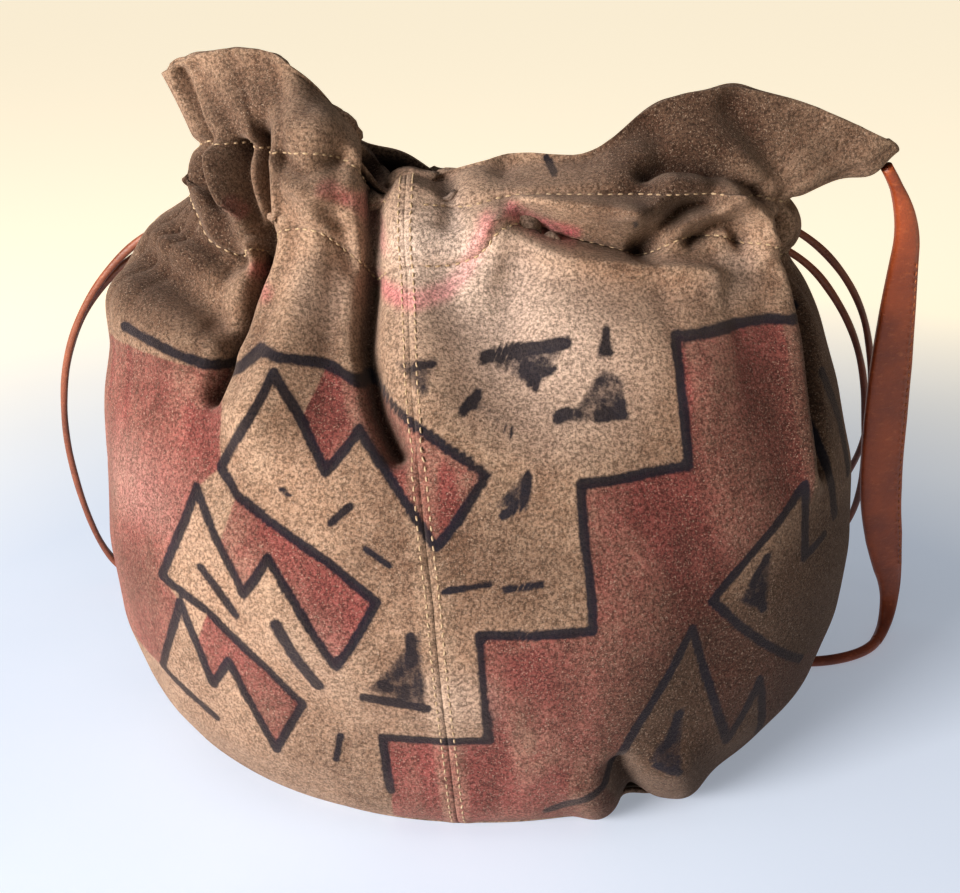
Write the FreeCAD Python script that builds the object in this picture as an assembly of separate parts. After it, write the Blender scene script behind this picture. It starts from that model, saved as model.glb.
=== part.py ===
import FreeCAD, Part
import math
import os

# Drawstring shoulder pouch in thin suede. Millimetres, +Z up, front faces -Y.

# Driving dimensions
SUEDE = 2.0             # thickness of the outer suede
LINING = 0.8            # thickness of the lining cloth
FACING = 1.2            # thickness of the collar's inner layer
NECK_HALF_WIDTH = 124.0
NECK_HALF_DEPTH = 42.0
CASING_BOTTOM = 208.0
CASING_HEIGHT = 20.0
CASING_TOP = CASING_BOTTOM + CASING_HEIGHT
STRIP = 1.2             # thickness of the strip that closes the drawstring channel
CHANNEL_GAP = 5.0       # clear depth of the drawstring channel
STITCH_WIDTH = 1.0
STITCH_HEIGHT = 0.5
SEAM_ROW_SPACING = 5.0
CASING_STITCH_HEIGHT = 0.8
CASING_STITCH_EDGE = 0.1
LACE_D = 3.5
LACE_HOLE_D = 4.6
LACE_HOLE_START = 84.0
LACE_HOLE_LENGTH = 24.0
LACE_WAVE = 0.3         # how far a long run of lace strays from straight
STRAP_D = 5.0
CORD_KNOT_R = 6.0
STRAP_KNOT_R = 5.5
STEM_LENGTH = 11.0      # strap end from its knot to the outside of the collar
BIG = 600.0

# Where the laces run in the channel
CHANNEL_Y = NECK_HALF_DEPTH - SUEDE - CHANNEL_GAP / 2
LEVEL_MIDDLE = CASING_BOTTOM + CASING_HEIGHT / 2
LEVEL_STEP = 4.5
LEVEL_HIGH = LEVEL_MIDDLE + LEVEL_STEP
LEVEL_LOW = LEVEL_MIDDLE - LEVEL_STEP

# Outer outline of the body: height, half width, half depth, sideways shift
BODY_PROFILE = [
    (0.0, 108.0, 99.0, 0.0),
    (12.0, 125.0, 112.0, 0.0),
    (35.0, 143.0, 119.0, 0.0),
    (62.0, 154.0, 122.0, 0.0),
    (95.0, 158.0, 122.0, 0.0),
    (130.0, 154.0, 112.0, 0.0),
    (165.0, 143.0, 86.0, 0.0),
    (188.0, 131.0, 59.0, 0.0),
    (CASING_BOTTOM, NECK_HALF_WIDTH, NECK_HALF_DEPTH, 0.0),
]
# Outer outline of the flared collar above the casing
RUFFLE_PROFILE = [
    (CASING_TOP, NECK_HALF_WIDTH, NECK_HALF_DEPTH, 0.0),
    (239.0, 133.0, 41.0, 9.0),
    (252.0, 144.0, 37.0, 20.0),
    (272.0, 147.0, 33.0, 22.0),
    (300.0, 148.0, 30.0, 22.0),
]
# Rim of the collar seen from the front: sideways position, height
RIM = [(-140.0, 280.0), (-120.0, 289.0), (-96.0, 294.0), (-72.0, 287.0), (-50.0, 266.0), (-28.0, 243.0),
       (4.0, 241.0), (40.0, 252.0), (66.0, 270.0), (100.0, 276.0), (134.0, 268.0), (158.0, 256.0),
       (185.0, 248.0)]

# Shoulder strap and its pad
STRAP_EXIT = (166.5, 0.0, 246.0)
STRAP_FAR_EXIT = (-90.0, 35.4, 262.0)
PAD_STATIONS = [(232.0, 3.4), (212.0, 6.0), (190.0, 8.2), (163.0, 10.0), (133.0, 10.6), (105.0, 10.6),
                (78.0, 10.4), (58.0, 9.0), (46.0, 7.2)]
PAD_HALF_THICKNESS = 3.6
RIGHT_STOPPER_OFFSET = (-6.9, 0.0, 0.0)
LEFT_STOPPER_OFFSET = (0.0, -3.0, 0.0)

# Lace ends from inside the back of the channel, out of the neck and down to the knot
RIGHT_TAIL_A = [
    (14.0, CHANNEL_Y, LEVEL_HIGH), (64.0, CHANNEL_Y, LEVEL_HIGH + LACE_WAVE), (112.0, CHANNEL_Y, LEVEL_HIGH),
    (149.0, 45.0, 209.0), (178.0, 56.0, 177.0), (191.0, 67.0, 138.0), (197.0, 84.0, 98.0),
    (194.0, 103.0, 65.0), (182.0, 120.0, 35.0), (164.0, 131.0, 13.0), (142.0, 133.0, 5.0),
    (116.0, 129.0, 5.0),
]
RIGHT_TAIL_B = [
    (14.0, CHANNEL_Y, LEVEL_LOW), (62.0, CHANNEL_Y, LEVEL_LOW + LACE_WAVE), (108.0, CHANNEL_Y, LEVEL_LOW),
    (145.0, 40.0, 201.0), (169.0, 46.0, 172.0), (183.0, 56.0, 142.0), (191.0, 70.0, 108.0),
    (198.0, 86.0, 72.0), (198.0, 100.0, 42.0), (186.0, 111.0, 16.0), (165.0, 118.0, 4.0),
    (138.0, 121.0, 4.0), (116.0, 124.0, 5.0),
]
LEFT_TAIL_A = [
    (-14.0, CHANNEL_Y, LEVEL_HIGH), (-64.0, CHANNEL_Y, LEVEL_HIGH + LACE_WAVE), (-112.0, CHANNEL_Y, LEVEL_HIGH),
    (-150.0, 45.0, 211.0), (-180.0, 53.0, 182.0), (-199.0, 62.0, 147.0), (-208.0, 74.0, 106.0),
    (-209.0, 88.0, 66.0), (-205.0, 100.0, 30.0), (-196.0, 106.0, 9.0), (-171.0, 99.0, 3.0),
    (-144.0, 86.0, 5.0),
]
LEFT_TAIL_B = [
    (-14.0, CHANNEL_Y, LEVEL_LOW), (-62.0, CHANNEL_Y, LEVEL_LOW + LACE_WAVE), (-108.0, CHANNEL_Y, LEVEL_LOW),
    (-150.0, 50.0, 204.0), (-181.0, 58.0, 179.0), (-200.5, 66.5, 145.0), (-209.5, 78.5, 104.0),
    (-210.5, 92.5, 64.0), (-206.5, 104.5, 28.0), (-197.0, 110.5, 9.0), (-172.0, 103.5, 3.0),
    (-144.0, 92.0, 5.0),
]
RIGHT_KNOT = (113.0, 126.5, CORD_KNOT_R)
LEFT_KNOT = (-141.0, 89.0, CORD_KNOT_R)

# The strap: down inside the pad, over the floor behind the bag, and up its back to the collar
STRAP_POINTS = [
    STRAP_EXIT, (182.0, 10.0, 226.0), (185.5, 24.0, 188.0), (189.0, 35.0, 134.0), (194.0, 46.0, 82.0),
    (204.0, 56.0, 44.0), (212.0, 65.0, 20.0), (207.0, 53.0, 2.6), (192.0, 29.0, 2.6),
    (161.0, 18.0, 2.6), (127.0, 27.0, 2.6), (112.0, 60.0, 2.6), (102.0, 98.0, 2.6),
    (70.0, 130.0, 2.6), (24.0, 158.0, 2.6), (-28.0, 166.0, 2.6), (-74.0, 158.0, 5.0),
    (-97.0, 136.0, 30.0), (-97.0, 121.0, 76.0), (-95.0, 116.0, 122.0), (-93.0, 92.0, 165.0),
    (-92.0, 68.0, 205.0), (-91.0, 59.0, 244.0), STRAP_FAR_EXIT,
]


def vector(point):
    return FreeCAD.Vector(point[0], point[1], point[2])


def oval_wire(half_width, half_depth, height, shift):
    """Two straight sides joined by two half circles."""
    straight = half_width - half_depth
    front_left = vector((shift - straight, -half_depth, height))
    front_right = vector((shift + straight, -half_depth, height))
    back_right = vector((shift + straight, half_depth, height))
    back_left = vector((shift - straight, half_depth, height))
    right = vector((shift + half_width, 0.0, height))
    left = vector((shift - half_width, 0.0, height))
    edges = [
        Part.LineSegment(front_left, front_right).toShape(),
        Part.Arc(front_right, right, back_right).toShape(),
        Part.LineSegment(back_right, back_left).toShape(),
        Part.Arc(back_left, left, front_left).toShape(),
    ]
    return Part.Wire(edges)


def loft(profile, inset):
    wires = [oval_wire(a - inset, b - inset, z, shift) for z, a, b, shift in profile]
    return Part.makeLoft(wires, True, False)


def oval_block(half_width, half_depth, bottom, top):
    face = Part.Face(oval_wire(half_width, half_depth, bottom, 0.0))
    return face.extrude(FreeCAD.Vector(0, 0, top - bottom))


def neck_ring(outer_inset, inner_inset, bottom, top):
    outer = oval_block(NECK_HALF_WIDTH - outer_inset, NECK_HALF_DEPTH - outer_inset, bottom, top)
    inner = oval_block(NECK_HALF_WIDTH - inner_inset, NECK_HALF_DEPTH - inner_inset, bottom, top)
    return outer.cut(inner)


def slab(bottom, top):
    return Part.makeBox(BIG, BIG, top - bottom, FreeCAD.Vector(-BIG / 2, -BIG / 2, bottom))


def half_space(side):
    """Everything left (-1) or right (+1) of the seams."""
    start = 0.0 if side > 0 else -BIG
    return Part.makeBox(BIG, BIG, BIG, FreeCAD.Vector(start, -BIG / 2, -BIG / 4))


def one_solid(shape):
    solids = shape.Solids
    solids.sort(key=lambda solid: solid.Volume)
    return solids[-1]


def below_rim():
    """The space under the collar's wavy rim."""
    curve = Part.BSplineCurve()
    curve.interpolate([FreeCAD.Vector(x, -BIG / 2, z) for x, z in RIM])
    first = FreeCAD.Vector(RIM[0][0], -BIG / 2, 0.0)
    last = FreeCAD.Vector(RIM[-1][0], -BIG / 2, 0.0)
    top_left = FreeCAD.Vector(RIM[0][0], -BIG / 2, RIM[0][1])
    top_right = FreeCAD.Vector(RIM[-1][0], -BIG / 2, RIM[-1][1])
    edges = [
        Part.LineSegment(first, top_left).toShape(),
        curve.toShape(),
        Part.LineSegment(top_right, last).toShape(),
        Part.LineSegment(last, first).toShape(),
    ]
    return Part.Face(Part.Wire(edges)).extrude(FreeCAD.Vector(0, BIG, 0))


def cord_wire(points, name):
    """Straight runs joined by tangent arcs."""
    corners = [vector(p) for p in points]
    edges = []
    start = corners[0]
    radii = []
    for before, corner, after in zip(corners, corners[1:], corners[2:]):
        incoming = corner - before
        outgoing = after - corner
        shorter = min(incoming.Length, outgoing.Length)
        cut = 0.45 * shorter
        incoming.normalize()
        outgoing.normalize()
        turn = incoming.getAngle(outgoing)
        radii.append(cut / math.tan(turn / 2))
        enter = corner - incoming * cut
        leave = corner + outgoing * cut
        inward = outgoing - incoming
        inward.normalize()
        radius = radii[-1]
        middle = corner + inward * (radius / math.cos(turn / 2) - radius)
        edges.append(Part.LineSegment(start, enter).toShape())
        edges.append(Part.Arc(enter, middle, leave).toShape())
        start = leave
    edges.append(Part.LineSegment(start, corners[-1]).toShape())
    wire = Part.Wire(edges)
    print(name, "length", round(wire.Length, 1), "tightest radius", round(min(radii), 1))
    return wire


def cord(points, diameter, name):
    wire = cord_wire(points, name)
    direction = vector(points[1]) - vector(points[0])
    circle = Part.Wire(Part.makeCircle(diameter / 2, vector(points[0]), direction))
    tube = wire.makePipeShell([circle], True, False)
    wanted = math.pi * diameter * diameter / 4 * wire.Length
    print(name, "volume ratio", round(tube.Volume / wanted, 4))
    return tube.Solids[0] if tube.Solids else tube


# ---------------------------------------------------------------- bag body

def body_panels():
    wall = loft(BODY_PROFILE, 0.0).cut(loft(BODY_PROFILE, SUEDE))
    return one_solid(wall.common(half_space(-1))), one_solid(wall.common(half_space(1)))


def base_panel():
    return one_solid(loft(BODY_PROFILE, SUEDE).common(slab(0.0, SUEDE)))


def lining_pieces():
    inside = loft(BODY_PROFILE, SUEDE)
    wall = inside.cut(loft(BODY_PROFILE, SUEDE + LINING))
    wall = wall.common(slab(SUEDE + LINING, CASING_BOTTOM))
    base = inside.common(slab(SUEDE, SUEDE + LINING))
    return one_solid(wall), one_solid(base)


# ---------------------------------------------------------------- neck

def ruffle_layer(outer_inset, inner_inset):
    layer = loft(RUFFLE_PROFILE, outer_inset).cut(loft(RUFFLE_PROFILE, inner_inset))
    return one_solid(layer.common(below_rim()))


def lace_holes():
    """Holes where the lace ends leave the channel, two at each end of the neck."""
    holes = []
    for side in (-1, 1):
        for level in (LEVEL_HIGH, LEVEL_LOW):
            start = FreeCAD.Vector(side * LACE_HOLE_START, CHANNEL_Y, level)
            way = FreeCAD.Vector(side, 0, 0)
            holes.append(Part.makeCylinder(LACE_HOLE_D / 2, LACE_HOLE_LENGTH, start, way))
    return holes


def strap_inner_ends():
    """Where the strap's two ends stop inside the collar, and the way each one goes out, right then left."""
    ends = []
    for first, second in (STRAP_POINTS[:2], STRAP_POINTS[:-3:-1]):
        way = vector(second) - vector(first)
        way.normalize()
        ends.append((vector(first) - way * STEM_LENGTH, way))
    return ends


def strap_stems():
    """The strap's ends inside the holes in the collar, right then left."""
    return [Part.makeCylinder(STRAP_D / 2, STEM_LENGTH, end, way) for end, way in strap_inner_ends()]


def collar_halves(strap):
    casing = neck_ring(0.0, SUEDE, CASING_BOTTOM, CASING_TOP)
    collar = casing.fuse(ruffle_layer(0.0, SUEDE)).removeSplitter()
    for hole in lace_holes() + strap_stems() + [strap]:
        collar = collar.cut(hole)
    return one_solid(collar.common(half_space(-1))), one_solid(collar.common(half_space(1)))


def collar_facing():
    facing = ruffle_layer(SUEDE, SUEDE + FACING)
    for stem in strap_stems():
        facing = facing.cut(stem)
    return one_solid(facing)


def casing_strip():
    """Inner strip sewn along both edges, which makes the drawstring channel."""
    depth = SUEDE + CHANNEL_GAP
    block = neck_ring(SUEDE, depth + STRIP, CASING_BOTTOM, CASING_TOP)
    channel = neck_ring(SUEDE, depth, CASING_BOTTOM + STRIP, CASING_TOP - STRIP)
    return one_solid(block.cut(channel))


# ---------------------------------------------------------------- stitching

def seam_thread(row_x, front):
    """One row of stitches from the base to the rim."""
    body = loft(BODY_PROFILE, -STITCH_HEIGHT).cut(loft(BODY_PROFILE, 0.0)).common(slab(1.0, CASING_BOTTOM))
    casing = neck_ring(-STITCH_HEIGHT, 0.0, CASING_BOTTOM, CASING_TOP)
    ruffle = ruffle_layer(-STITCH_HEIGHT, 0.0)
    depth_start = -BIG / 2 if front else 0.0
    row = Part.makeBox(STITCH_WIDTH, BIG / 2, BIG, FreeCAD.Vector(row_x - STITCH_WIDTH / 2, depth_start, 0.0))
    pieces = [layer.common(row) for layer in (body, casing, ruffle)]
    thread = pieces[0].fuse(pieces[1]).fuse(pieces[2])
    return one_solid(thread.removeSplitter())


def casing_thread(side, bottom):
    """One row of stitches round half of the neck, between the two seams."""
    ring = neck_ring(-STITCH_HEIGHT, 0.0, bottom, bottom + CASING_STITCH_HEIGHT)
    clear = SEAM_ROW_SPACING / 2 + STITCH_WIDTH
    middle = Part.makeBox(2 * clear, BIG, BIG, FreeCAD.Vector(-clear, -BIG / 2, 0.0))
    return one_solid(ring.common(half_space(side)).cut(middle))


# ---------------------------------------------------------------- drawstrings

def mirrored(points):
    return [(-x, y, z) for x, y, z in points]


def hidden_run(level):
    """The run round the neck inside the channel, for the lace that leaves on the right."""
    end_centre = NECK_HALF_WIDTH - NECK_HALF_DEPTH
    corner = CHANNEL_Y * math.tan(math.radians(22.5))
    corner_x = end_centre + corner
    far_x = end_centre + CHANNEL_Y
    return [
        (10.0, CHANNEL_Y, level),
        (-14.0, CHANNEL_Y, LEVEL_MIDDLE),
        (-56.0, CHANNEL_Y, LEVEL_MIDDLE + LACE_WAVE),
        (-corner_x, CHANNEL_Y, LEVEL_MIDDLE),
        (-far_x, corner, LEVEL_MIDDLE),
        (-far_x, -corner, LEVEL_MIDDLE),
        (-corner_x, -CHANNEL_Y, LEVEL_MIDDLE),
        (-50.0, -CHANNEL_Y, level),
        (0.0, -CHANNEL_Y, level + LACE_WAVE),
        (50.0, -CHANNEL_Y, level),
        (corner_x, -CHANNEL_Y, level),
        (far_x, -corner, level),
        (far_x, corner / 2, level),
    ]


def knot(centre, radius, cords):
    ball = Part.makeSphere(radius, vector(centre))
    for tube in cords:
        ball = ball.cut(tube)
    return one_solid(ball)


def strap_knot(stem, inner_end, centre_offset):
    """Stopper knot inside the collar, with the end that fills the hole."""
    ball = Part.makeSphere(STRAP_KNOT_R, inner_end + vector(centre_offset))
    return ball.fuse(stem)


# ---------------------------------------------------------------- strap pad

def strap_centre(height):
    """Sideways and depth position of the hanging strap at a height."""
    for upper, lower in zip(STRAP_POINTS, STRAP_POINTS[1:]):
        if lower[2] <= height <= upper[2]:
            share = (upper[2] - height) / (upper[2] - lower[2])
            return upper[0] + share * (lower[0] - upper[0]), upper[1] + share * (lower[1] - upper[1])
    return STRAP_POINTS[0][0], STRAP_POINTS[0][1]


def pad_section(height, half_width, half_thickness):
    centre_x, centre_y = strap_centre(height)
    wire = oval_wire(half_width, half_thickness, height, centre_x)
    wire.translate(FreeCAD.Vector(0, centre_y, 0))
    return wire


def pad_solid(grow):
    wires = []
    for height, half_width in PAD_STATIONS:
        half_thickness = min(PAD_HALF_THICKNESS, half_width - 0.1)
        wires.append(pad_section(height, half_width + grow, half_thickness))
    return Part.makeLoft(wires, True, False)


def strap_pad(strap):
    return one_solid(pad_solid(0.0).cut(strap))


def strap_pad_thread():
    """Row of stitches along the pad's open edge."""
    skin = pad_solid(STITCH_HEIGHT).cut(pad_solid(0.0))
    lowest, lowest_half_width = PAD_STATIONS[-1]
    stitched = PAD_STATIONS[1:-1] + [(lowest + 4.0, lowest_half_width + 0.8)]
    wires = []
    for height, half_width in reversed(stitched):
        centre_x, centre_y = strap_centre(height)
        low = FreeCAD.Vector(centre_x + half_width - 1.2, centre_y - STITCH_WIDTH / 2, height)
        wires.append(Part.makePolygon([
            low, low + FreeCAD.Vector(4, 0, 0), low + FreeCAD.Vector(4, STITCH_WIDTH, 0),
            low + FreeCAD.Vector(0, STITCH_WIDTH, 0), low]))
    row = Part.makeLoft(wires, True, False)
    return one_solid(skin.common(row))


# ---------------------------------------------------------------- output

def save(shape, node):
    shape.exportStep("parts/" + node + ".step")
    box = shape.optimalBoundingBox(False)
    print(node, "solids", len(shape.Solids), "valid", shape.isValid(), "volume", round(shape.Volume, 1),
          "box", [round(v, 1) for v in (box.XMin, box.XMax, box.YMin, box.YMax, box.ZMin, box.ZMax)])


os.makedirs("parts", exist_ok=True)

left_panel, right_panel = body_panels()
save(left_panel, "body_panel_left")
save(right_panel, "body_panel_right")
save(base_panel(), "base_panel")
lining_wall, lining_base = lining_pieces()
save(lining_wall, "lining_wall")
save(lining_base, "lining_base")

strap = cord(STRAP_POINTS, STRAP_D, "strap_cord")
left_collar, right_collar = collar_halves(strap)
save(left_collar, "collar_left")
save(right_collar, "collar_right")
save(collar_facing(), "collar_facing")
save(casing_strip(), "casing_strip")

for face_name, is_front in (("front", True), ("back", False)):
    save(seam_thread(-SEAM_ROW_SPACING / 2, is_front), face_name + "_seam_thread_left")
    save(seam_thread(SEAM_ROW_SPACING / 2, is_front), face_name + "_seam_thread_right")
upper_row = CASING_TOP - CASING_STITCH_HEIGHT - CASING_STITCH_EDGE
for side_name, side_sign in (("left", -1), ("right", 1)):
    save(casing_thread(side_sign, CASING_BOTTOM + CASING_STITCH_EDGE), "casing_thread_lower_" + side_name)
    save(casing_thread(side_sign, upper_row), "casing_thread_upper_" + side_name)

save(cord(hidden_run(LEVEL_HIGH), LACE_D, "drawstring_right_run"), "drawstring_right_run")
save(cord(mirrored(hidden_run(LEVEL_LOW)), LACE_D, "drawstring_left_run"), "drawstring_left_run")

for side_name, tails, knot_centre in (("right", (RIGHT_TAIL_A, RIGHT_TAIL_B), RIGHT_KNOT),
                                      ("left", (LEFT_TAIL_A, LEFT_TAIL_B), LEFT_KNOT)):
    ends = []
    for letter, route in zip("ab", tails):
        node_name = "drawstring_" + side_name + "_tail_" + letter
        ends.append(cord(route, LACE_D, node_name))
        save(ends[-1], node_name)
    save(knot(knot_centre, CORD_KNOT_R, ends), "drawstring_" + side_name + "_knot")

save(strap, "strap_cord")
save(strap_pad(strap), "strap_pad")
save(strap_pad_thread(), "strap_pad_thread")
stems = strap_stems()
inner_ends = strap_inner_ends()
save(strap_knot(stems[0], inner_ends[0][0], RIGHT_STOPPER_OFFSET), "strap_knot_right")
save(strap_knot(stems[1], inner_ends[1][0], LEFT_STOPPER_OFFSET), "strap_knot_left")
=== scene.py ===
import math
import bpy
import numpy as np
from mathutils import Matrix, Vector


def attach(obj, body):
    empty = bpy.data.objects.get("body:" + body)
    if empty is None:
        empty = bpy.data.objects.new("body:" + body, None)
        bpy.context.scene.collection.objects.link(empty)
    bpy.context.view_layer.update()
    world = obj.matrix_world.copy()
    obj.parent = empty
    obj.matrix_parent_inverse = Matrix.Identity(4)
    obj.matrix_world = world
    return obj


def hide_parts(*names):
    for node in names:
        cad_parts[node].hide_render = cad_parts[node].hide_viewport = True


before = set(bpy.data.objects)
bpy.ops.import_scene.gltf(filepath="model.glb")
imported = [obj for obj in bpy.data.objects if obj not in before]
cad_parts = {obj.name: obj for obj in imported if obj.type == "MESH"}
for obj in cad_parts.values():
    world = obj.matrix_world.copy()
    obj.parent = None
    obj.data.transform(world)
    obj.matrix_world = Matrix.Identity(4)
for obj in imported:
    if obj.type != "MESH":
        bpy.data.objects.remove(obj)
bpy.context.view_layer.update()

MM = 0.001
FRONT = 0.0             # column angle of the front seam
COLUMNS = 640           # columns of the suede shell, all the way round
BODY_ROWS = 150
CASING_ROWS = 22
RUFFLE_ROWS = 30
SUEDE = 1.8 * MM
RNG = np.random.default_rng(11)

# ------------------------------------------------------------------ small helpers


def srgb(red, green, blue):
    """A colour given as 0-255 screen values, as linear light."""
    values = []
    for value in (red, green, blue):
        share = value / 255.0
        values.append(share / 12.92 if share <= 0.04045 else ((share + 0.055) / 1.055) ** 2.4)
    return (values[0], values[1], values[2], 1.0)


def smoothstep(low, high, value):
    share = np.clip((value - low) / (high - low), 0.0, 1.0)
    return share * share * (3.0 - 2.0 * share)


def table(points, value):
    """Value read from given pairs, with soft corners."""
    xs = [p[0] for p in points]
    ys = [p[1] for p in points]
    spread = (xs[-1] - xs[0]) * 0.012
    shifts = (-1.5, -0.75, 0.0, 0.75, 1.5)
    return sum(np.interp(value + shift * spread, xs, ys) for shift in shifts) / len(shifts)


def ripple(x, y, z, scale, seed):
    """Smooth, repeatable waviness between about -1 and 1."""
    total = 0.0
    generator = np.random.default_rng(seed)
    for _ in range(7):
        direction = generator.normal(size=3)
        direction = direction / np.linalg.norm(direction) * generator.uniform(0.6, 1.6)
        phase = generator.uniform(0.0, 2.0 * math.pi)
        total = total + np.sin((direction[0] * x + direction[1] * y + direction[2] * z) / scale + phase)
    return total / 4.0


def distance_to_path(x, z, path):
    """Distance in the front view from points to a drawn line."""
    nearest = np.full(x.shape, 1.0e9)
    for (x0, z0), (x1, z1) in zip(path, path[1:]):
        along_x = x1 - x0
        along_z = z1 - z0
        length2 = along_x * along_x + along_z * along_z
        share = np.clip(((x - x0) * along_x + (z - z0) * along_z) / length2, 0.0, 1.0)
        nearest = np.minimum(nearest, np.hypot(x - x0 - share * along_x, z - z0 - share * along_z))
    return nearest


def mesh_object(name, vertices, faces, smooth=True):
    mesh = bpy.data.meshes.new(name)
    mesh.from_pydata([tuple(v) for v in vertices], [], [tuple(f) for f in faces])
    mesh.update()
    if smooth:
        mesh.polygons.foreach_set("use_smooth", [True] * len(mesh.polygons))
    piece = bpy.data.objects.new(name, mesh)
    bpy.context.scene.collection.objects.link(piece)
    return piece


def grid_faces(rows, columns, closed=False):
    faces = []
    last = columns if closed else columns - 1
    for row in range(rows - 1):
        for column in range(last):
            after = (column + 1) % columns
            faces.append((row * columns + column, row * columns + after,
                          (row + 1) * columns + after, (row + 1) * columns + column))
    return faces


def add_attribute(piece, name, values):
    attribute = piece.data.attributes.new(name, "FLOAT", "POINT")
    attribute.data.foreach_set("value", np.asarray(values, dtype=np.float32).ravel())


def grid_normals(points, closed=True):
    if closed:
        across = np.roll(points, -1, axis=1) - np.roll(points, 1, axis=1)
    else:
        across = np.gradient(points, axis=1)
    up = np.gradient(points, axis=0)
    normal = np.cross(across, up)
    size = np.linalg.norm(normal, axis=2, keepdims=True)
    return normal / np.maximum(size, 1.0e-12)


# ------------------------------------------------------------------ shape of the suede shell

# Height, half width, half depth, roundness of the cross-section (mm)
BODY_SHAPE = [
    (0.0, 110.0, 100.0, 2.1),
    (5.0, 123.0, 110.0, 2.1),
    (14.0, 135.0, 116.0, 2.15),
    (35.0, 150.0, 121.0, 2.2),
    (62.0, 158.0, 122.0, 2.25),
    (95.0, 161.0, 122.0, 2.3),
    (130.0, 159.0, 114.0, 2.35),
    (160.0, 152.0, 97.0, 2.4),
    (185.0, 143.0, 74.0, 2.5),
    (200.0, 135.0, 57.0, 2.6),
    (212.0, 125.0, 45.0, 2.7),
    (230.0, 119.0, 40.0, 2.8),
]
# Height, extra width of the high left shoulder
LEFT_SHOULDER = [(130.0, 1.0), (150.0, 5.0), (177.0, 9.0), (198.0, 15.0), (214.0, 18.0), (222.0, 15.0),
                 (230.0, 6.0), (236.0, -2.0)]
# Where the lower stitch row runs: sideways position, height
LOWER_ROW_FRONT = [(-130, 237), (-118, 235), (-110, 231), (-97, 221), (-86, 217), (-80, 222), (-72, 228),
                   (-60, 227), (-46, 216), (-36, 211), (-20, 213), (-6, 216), (2, 221), (9, 231), (20, 231),
                   (32, 227), (45, 224), (56, 221), (64, 219), (70, 221), (78, 225), (88, 226), (100, 222),
                   (112, 216), (130, 210)]
LOWER_ROW_BACK = [(-130, 236), (-112, 230), (-96, 221), (-60, 214), (0, 212), (60, 215), (130, 212)]
UPPER_ROW_FRONT = [(-130, 256), (-108, 259), (-90, 257), (-60, 257), (-46, 252), (-40, 238), (-16, 237),
                   (-6, 236), (8, 241), (88, 241), (110, 237), (130, 229)]
UPPER_ROW_BACK = [(-130, 254), (-90, 248), (-40, 236), (0, 234), (60, 240), (100, 242), (130, 232)]
# Where the rim ends up: position round the neck, sideways shift, height
RIM_FRONT = [(-130, -12, 282), (-112, -15, 286), (-104, -15, 291), (-90, -12, 294), (-76, -8, 293),
             (-64, -6, 285), (-54, -3, 272), (-45, -1, 257), (-40, 0, 243), (-34, 0, 240), (-24, 0, 240),
             (-16, 0, 246), (0, 0, 251), (16, 0, 254), (30, 0, 253), (40, 2, 253), (46, 5, 259), (54, 8, 268), (66, 10, 276),
             (84, 12, 279), (98, 16, 276), (106, 24, 271), (112, 33, 264), (118, 41, 258), (124, 45, 254),
             (130, 46, 248)]
RIM_BACK = [(-130, -12, 282), (-112, -12, 284), (-95, -6, 284), (-75, -3, 276), (-55, 0, 257), (-42, 0, 252),
            (-33, 0, 251), (-24, 0, 246), (-16, 0, 240), (0, 0, 238), (20, 0, 240), (40, 2, 247),
            (62, 8, 266), (80, 12, 271), (98, 16, 269),
            (106, 24, 264), (112, 33, 258), (118, 41, 252), (130, 46, 248)]

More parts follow.
